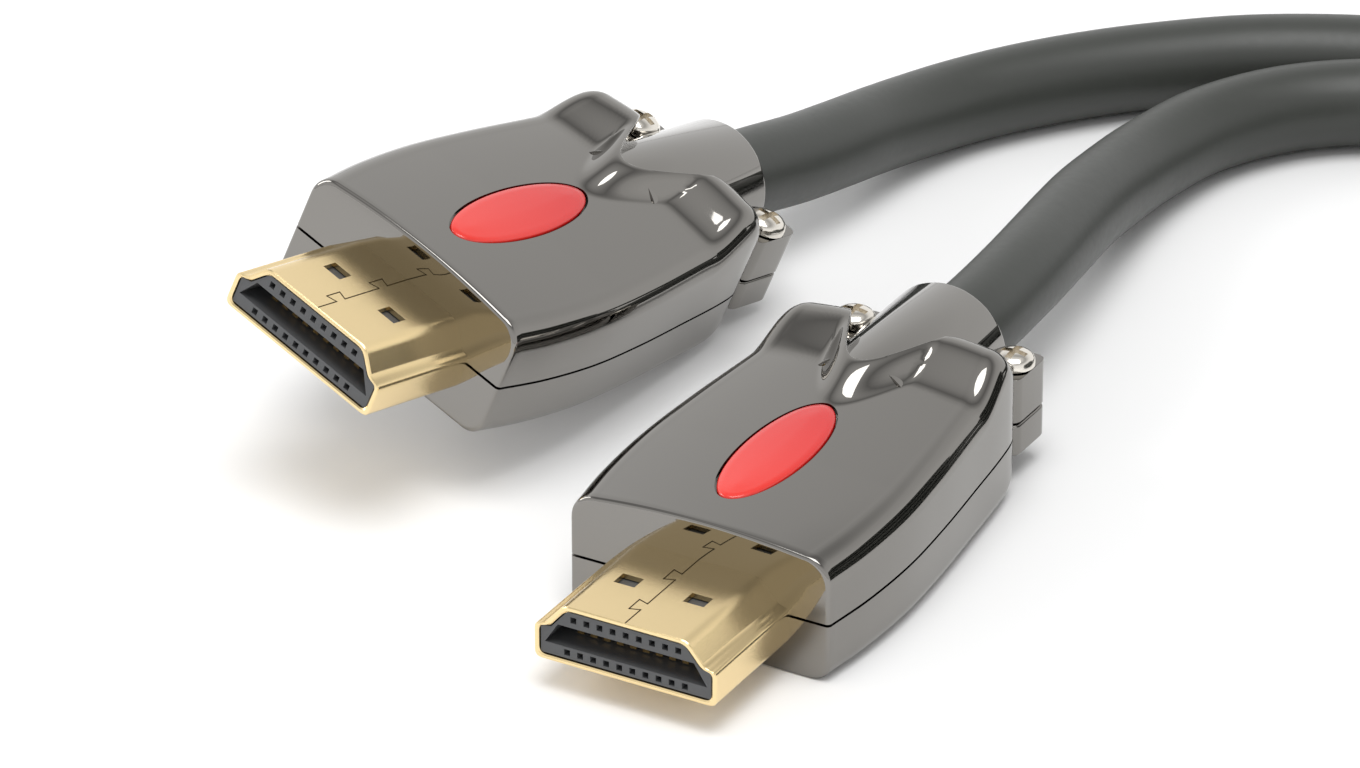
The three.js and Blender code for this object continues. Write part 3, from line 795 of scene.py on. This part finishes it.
@dataclass
class Cable:
    """The whole cable: near end, coil of slack and far end, as one line, with the strap round the coil."""

    diameter: float = 6.5
    length_m: float = 1.5
    centre: Flat = (71.2, 43.5)
    inner: float = 25.9
    pitch: float = 6.6
    turns: float = 1.5
    floor: float = 1.1
    layers: int = 4
    per_turn: int = 60
    strap: Flat = (12.0, 0.8)
    strap_angle: float = -60
    strap_play: float = 0.2
    strap_eye_play: float = 0.25
    strap_corner: float = 2.0
    strap_edge: float = 0.15
    near: tuple[Point, ...] = (
        (0, 17, 6.93), (0, 21, 6.93), (0, 26, 6.9), (-0.6, 33, 6.6), (-1.7, 40, 5.9), (-2.9, 47, 5),
        (-3.6, 53, 4.1), (-3.7, 59, 3.5), (-2.5, 65.8, 3.3), (1, 71.9, 3.3), (6.3, 76.3, 3.3),
        (12.8, 78.7, 3.3), (19.8, 78.7, 3.4), (26.3, 76.3, 3.5), (31.6, 71.9, 3.7), (35.1, 65.8, 3.9),
        (36.3, 59, 4.1), (35.9, 51, 4.3), (35.4, 43.5, 4.4),
    )
    far: tuple[Point, ...] = (
        (-25.8, 28.6, 8.6), (-25.3, 32.6, 7.9), (-24.6, 37.4, 7), (-23.9, 42.2, 6), (-23.4, 47.1, 5.1),
        (-23, 52, 4.2), (-22.1, 56.5, 3.6), (-20.5, 60.9, 3.3), (-17.9, 65.2, 3.3), (-14.6, 69.5, 3.3),
        (-10.6, 73.7, 3.3), (-5.2, 78.3, 3.3), (1.2, 82, 3.3), (8.4, 84.6, 3.4), (16.1, 85.7, 4),
        (24, 86, 5.3), (32, 85.9, 7.5), (40, 85.5, 10.7), (48, 84.8, 14.5), (56, 83.7, 18.4),
        (64, 82.2, 21.6), (72, 80.3, 23.7), (80.5, 78.1, 24.2),
    )

    def coil(self) -> list[Point]:
        """Return the turns, wound in and out by turns from the table upwards."""
        cx, cy = self.centre
        start = math.atan2(self.near[-1][1] - cy, self.near[-1][0] - cx)
        end = math.atan2(self.far[-1][1] - cy, self.far[-1][0] - cx)
        spare = ((end - start) / (2 * math.pi)) % 1
        climb = spare / (self.layers - 1)
        stage = self.turns + climb
        total = self.turns * self.layers + spare
        low = self.floor + self.pitch / 2
        outer = self.inner + self.pitch * self.turns
        turns: list[Point] = []
        for k in range(round(total * self.per_turn) + 1):
            done = min(k / self.per_turn, total)
            layer = min(int(done / stage), self.layers - 1)
            wound = min(done - layer * stage, self.turns)
            share = max(done - layer * stage - self.turns, 0) / climb
            inward = layer % 2 == 0
            radius = outer - self.pitch * wound if inward else self.inner + self.pitch * wound
            rise = layer + share * share * (3 - 2 * share)
            angle = start + 2 * math.pi * done
            x, y = cx + radius * math.cos(angle), cy + radius * math.sin(angle)
            turns.append((x, y, low + self.pitch * rise))
        return turns

    def route(self) -> list[Point]:
        """Return the cable's middle from the near clamp to the far one, in millimetres."""
        near = smooth_line(self.near)
        far = smooth_line(self.far)
        return near[:-1] + self.coil()[:-1] + list(reversed(far))

    def build(self) -> None:
        points = self.route()
        line = bpy.data.curves.new("cable_look", "CURVE")
        line.dimensions = "3D"
        line.bevel_depth = self.diameter / 2 * MM
        line.bevel_resolution = 10
        line.use_fill_caps = True
        spline = line.splines.new("POLY")
        spline.points.add(len(points) - 1)
        for spot, (x, y, z) in zip(spline.points, points):
            spot.co = (x * MM, y * MM, z * MM, 1)
        spline.use_smooth = True
        cable = bpy.data.objects.new("cable_look", line)
        bpy.context.scene.collection.objects.link(cable)
        cable.data.materials.append(SHEATH.build())
        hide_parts("cable_near", "cable_far", "cable_coil")
        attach(cable, "root")
        strap = self.make_strap()

    def make_strap(self) -> bpy.types.Object:
        """Return the strap closed round the bundle of turns."""
        wide, thick = self.strap
        radius = self.diameter / 2
        eye = math.sqrt((self.inner - radius) ** 2 - (wide / 2) ** 2) - self.strap_eye_play
        rim = self.inner + self.pitch * self.turns + radius + self.strap_play
        top = self.floor + self.layers * self.pitch + self.strap_play
        turn = Matrix.Rotation(math.radians(self.strap_angle), 4, "Z")
        place = Matrix.Translation((*self.centre, 0)) @ turn
        loops = []
        for grow, across in ((0, -1), (thick, -1), (thick, 1), (0, 1)):
            left, right, low, high = eye - grow, rim + grow, thick - grow, top + grow
            corners = [(left, low), (right, low), (right, high), (left, high)]
            outline = fillet(corners, self.strap_corner + grow)
            loops.append([tuple(place @ Vector((x, across * wide / 2, z))) for x, z in outline])
        strap = loft("tie_look", loops, capped=False)
        bevel(strap, self.strap_edge)
        soften(strap)
        strap.data.materials.append(STRAP.build())
        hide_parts("cable_tie")
        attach(strap, "root")
        return strap


def smooth_line(points: Sequence[Point], steps: int = 5) -> list[Point]:
    """Return a smooth line through points, with a few steps between each two."""
    spots = [Vector(p) for p in points]
    line: list[Point] = []
    for i in range(len(spots) - 1):
        before = spots[max(i - 1, 0)]
        a, b = spots[i], spots[i + 1]
        after = spots[min(i + 2, len(spots) - 1)]
        for k in range(steps):
            t = k / steps
            bend = 0.5 * (
                2 * a
                + (b - before) * t
                + (2 * before - 5 * a + 4 * b - after) * t**2
                + (3 * a - before - 3 * b + after) * t**3
            )
            line.append(tuple(bend))
    line.append(tuple(spots[-1]))
    return line


@dataclass
class Studio:
    """The pale floor, the soft light round it and the camera."""

    eye: Point = (0.2589, -0.469, 0.302)
    forward: Point = (-0.4373, 0.7641, -0.4742)
    lens: float = 238.2
    sensor: float = 36.0
    floor_half: float = 1.5
    floor_colour: Point = (0.92, 0.92, 0.92)
    floor_roughness: float = 0.9
    target: Point = (-0.01, 0.02, 0)
    sky: tuple[tuple[float, float], ...] = (
        (0.0, 1.0), (0.5, 1.0), (0.60, 1.0), (0.68, 1.0), (0.80, 0.85), (0.90, 0.35), (1.0, 0.9),
    )

    def camera(self) -> None:
        """Place the camera at the photograph's viewpoint."""
        lens = bpy.data.cameras.new("camera")
        lens.lens = self.lens
        lens.sensor_width = self.sensor
        lens.sensor_fit = "HORIZONTAL"
        lens.clip_start = 0.01
        lens.clip_end = 10
        camera = bpy.data.objects.new("camera", lens)
        camera.location = self.eye
        camera.rotation_mode = "QUATERNION"
        camera.rotation_quaternion = Vector(self.forward).to_track_quat("-Z", "Y")
        bpy.context.scene.collection.objects.link(camera)
        bpy.context.scene.camera = camera

    def floor(self) -> None:
        """Make the floor."""
        half = self.floor_half / MM
        corners = [(-half, -half, 0), (half, -half, 0), (half, half, 0), (-half, half, 0)]
        floor = new_object("floor", corners, [[0, 1, 2, 3]])
        floor.data.materials.append(Finish("floor", self.floor_colour, self.floor_roughness).build())

    def world(self) -> None:
        """Light the scene from all round, darker overhead and behind."""
        world = bpy.data.worlds.new("studio")
        bpy.context.scene.world = world
        world.use_nodes = True
        tree = world.node_tree
        place, split = tree.nodes.new("ShaderNodeTexCoord"), tree.nodes.new("ShaderNodeSeparateXYZ")
        span, ramp = tree.nodes.new("ShaderNodeMapRange"), tree.nodes.new("ShaderNodeValToRGB")
        span.inputs["From Min"].default_value = -1
        stops = ramp.color_ramp.elements
        while len(stops) < len(self.sky):
            stops.new(0.5)
        for stop, (spot, grey) in zip(stops, self.sky):
            stop.position = spot
            stop.color = (grey, grey, grey, 1)
        tree.links.new(place.outputs["Generated"], split.inputs["Vector"])
        tree.links.new(split.outputs["Z"], span.inputs["Value"])
        tree.links.new(span.outputs["Result"], ramp.inputs["Fac"])
        tree.links.new(ramp.outputs["Color"], tree.nodes["Background"].inputs["Color"])
        tree.nodes["Background"].inputs["Strength"].default_value = 1.0

    def lamp(self, name: str, spot: Point, size: Flat, watts: float) -> None:
        """Add a rectangular lamp aimed at the plugs.

        Args:
            name: The lamp's name.
            spot: Its middle, in metres.
            size: Its width and height, in metres.
            watts: Its power.
        """
        light = bpy.data.lights.new(name, "AREA")
        light.shape = "RECTANGLE"
        light.size, light.size_y = size
        light.energy = watts
        lamp = bpy.data.objects.new(name, light)
        lamp.location = spot
        aim = Vector(self.target) - Vector(spot)
        lamp.rotation_mode = "QUATERNION"
        lamp.rotation_quaternion = aim.to_track_quat("-Z", "Y")
        bpy.context.scene.collection.objects.link(lamp)

    def build(self) -> None:
        """Set up the whole studio."""
        self.camera()
        self.floor()
        self.world()
        self.lamp("overhead", spot=(0.1, -0.1, 0.75), size=(0.5, 0.5), watts=3.5)
        self.lamp("left strip", spot=(-0.7, -0.1, 0.35), size=(0.15, 0.5), watts=1.5)
        view = bpy.context.scene.view_settings
        view.view_transform = "Standard"
        view.look = "None"


def main() -> None:
    """Build the scene in order."""
    logging.basicConfig(level=logging.INFO, format="%(message)s")
    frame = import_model()
    Studio().build()
    Cable().build()
    logger.info("studio and cable built")
    for side in Side:
        Plug(side, frame["nodes"]).build()
        logger.info("%s plug built", side.value)
    bpy.context.view_layer.update()


if __name__ == "__main__":
    main()
